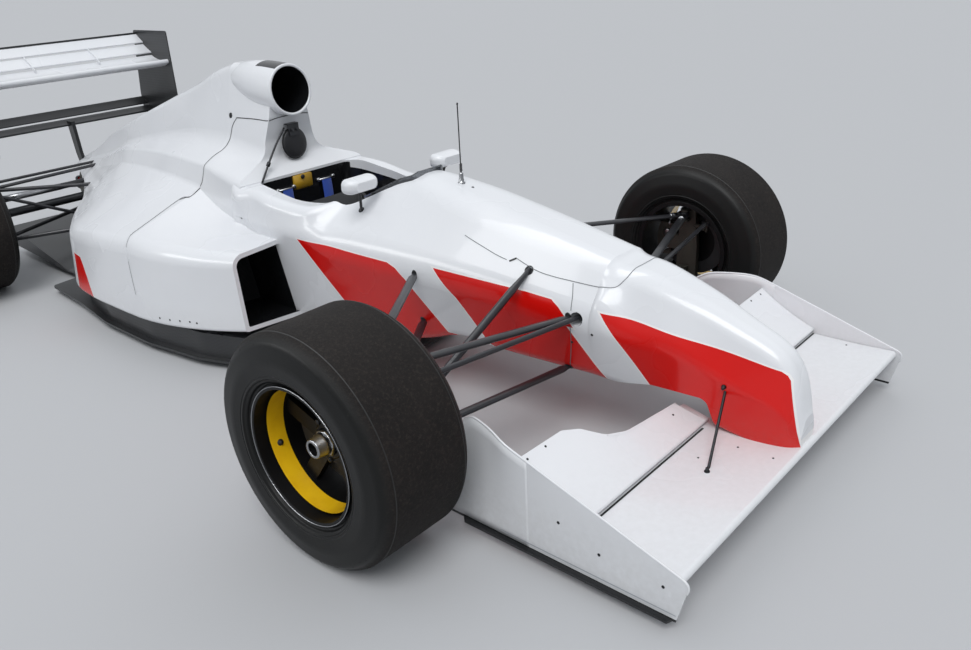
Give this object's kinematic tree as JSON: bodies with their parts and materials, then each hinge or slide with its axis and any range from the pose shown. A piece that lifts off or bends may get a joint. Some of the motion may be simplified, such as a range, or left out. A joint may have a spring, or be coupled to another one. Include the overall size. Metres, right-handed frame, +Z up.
{
  "type": "open wheel racing car",
  "caption": "Single-seat open wheel racing car with wings front and rear, airbox intake, sidepods, wishbone suspension and slick tyres; the wheels roll and the front pair steers.",
  "frame": {"origin": "on the ground, under the middle of the car's length and width", "axes": "+X to the driver's left, +Y towards the tail, +Z up"},
  "size_m": [2.145, 4.252, 1.0639],
  "materials": {
    "painted_bodywork": "glossy white lacquer over moulded composite",
    "carbon_composite": "satin carbon composite",
    "slick_rubber": "worn, dusty",
    "rim_black": "satin black with a yellow band inside the barrel",
    "nut_alloy": "machined",
    "seat_shell": "moulded shell",
    "belt_webbing": "woven webbing",
    "smoked_screen": "smoked",
    "radiator_core": "finned core",
    "cast_casing": "cast, matt",
    "lamp_red": "moulded lens",
    "suspension_black": "satin black tube",
    "rod_steel": "bare",
    "pad_black": "padded",
    "grip_black": "suede grip"
  },
  "bodies": {
    "chassis": {"nose_cone": "painted_bodywork", "tub": "painted_bodywork", "windscreen": "smoked_screen", "airbox": "painted_bodywork", "engine_cover": "painted_bodywork", "sidepod_right": "painted_bodywork", "sidepod_left": "painted_bodywork", "radiators": "radiator_core", "floor": "carbon_composite", "engine_block": "cast_casing", "gearbox": "cast_casing", "rain_light": "lamp_red", "headrest": "pad_black", "seat": "seat_shell", "belts": "belt_webbing", "mirrors": "painted_bodywork", "antenna": "rod_steel", "front_mainplane": "painted_bodywork", "front_endplates": "painted_bodywork", "front_flaps": "painted_bodywork", "wing_stays": "rod_steel", "front_suspension": "suspension_black", "rear_mainplane": "painted_bodywork", "rear_flaps": "painted_bodywork", "beam_wing": "carbon_composite", "rear_endplates": "carbon_composite", "wing_pylon": "carbon_composite", "rear_suspension": "suspension_black", "rear_uprights": "cast_casing"},
    "track_rods": {"track_rods": "suspension_black"},
    "steering_wheel": {"steering_wheel": "grip_black"},
    "upright_right": {"upright_front_right": "cast_casing"},
    "upright_left": {"upright_front_left": "cast_casing"},
    "wheel_front_right": {"tyre_front_right": "slick_rubber", "rim_front_right": "rim_black", "nut_front_right": "nut_alloy"},
    "wheel_front_left": {"tyre_front_left": "slick_rubber", "rim_front_left": "rim_black", "nut_front_left": "nut_alloy"},
    "wheel_rear_right": {"tyre_rear_right": "slick_rubber", "rim_rear_right": "rim_black", "nut_rear_right": "nut_alloy", "driveshaft_right": "rod_steel"},
    "wheel_rear_left": {"tyre_rear_left": "slick_rubber", "rim_rear_left": "rim_black", "nut_rear_left": "nut_alloy", "driveshaft_left": "rod_steel"}
  },
  "joints": [
    {"name": "steer_right", "type": "hinge", "parent": "chassis", "child": "upright_right", "pos_m": [-0.828, -1.252, 0.318], "axis": [0, 0, 1], "range_deg": [-16, 16]},
    {"name": "steer_left", "type": "hinge", "parent": "chassis", "child": "upright_left", "pos_m": [0.828, -1.252, 0.318], "axis": [0, 0, 1], "range_deg": [-16, 16]},
    {"name": "spin_front_right", "type": "hinge", "parent": "upright_right", "child": "wheel_front_right", "pos_m": [-0.92, -1.264, 0.318], "axis": [1, 0, 0], "continuous": true},
    {"name": "spin_front_left", "type": "hinge", "parent": "upright_left", "child": "wheel_front_left", "pos_m": [0.92, -1.264, 0.318], "axis": [1, 0, 0], "continuous": true},
    {"name": "spin_rear_right", "type": "hinge", "parent": "chassis", "child": "wheel_rear_right", "pos_m": [-0.848, 1.626, 0.33], "axis": [1, 0, 0], "continuous": true},
    {"name": "spin_rear_left", "type": "hinge", "parent": "chassis", "child": "wheel_rear_left", "pos_m": [0.848, 1.626, 0.33], "axis": [1, 0, 0], "continuous": true},
    {"name": "rack_slide", "type": "slide", "parent": "chassis", "child": "track_rods", "axis": [1, 0, 0], "range_m": [-0.027, 0.027]},
    {"name": "steering_wheel_turn", "type": "hinge", "parent": "chassis", "child": "steering_wheel", "pos_m": [0, -0.548, 0.548], "axis": [0, 0.9511, 0.309], "range_deg": [-150, 150]}
  ],
  "couplings": [
    {"joint": "steer_left", "follows": "steer_right", "ratio": 1},
    {"joint": "rack_slide", "follows": "steer_right", "m_per_rad": 0.094},
    {"joint": "steering_wheel_turn", "follows": "steer_right", "ratio": 9}
  ]
}
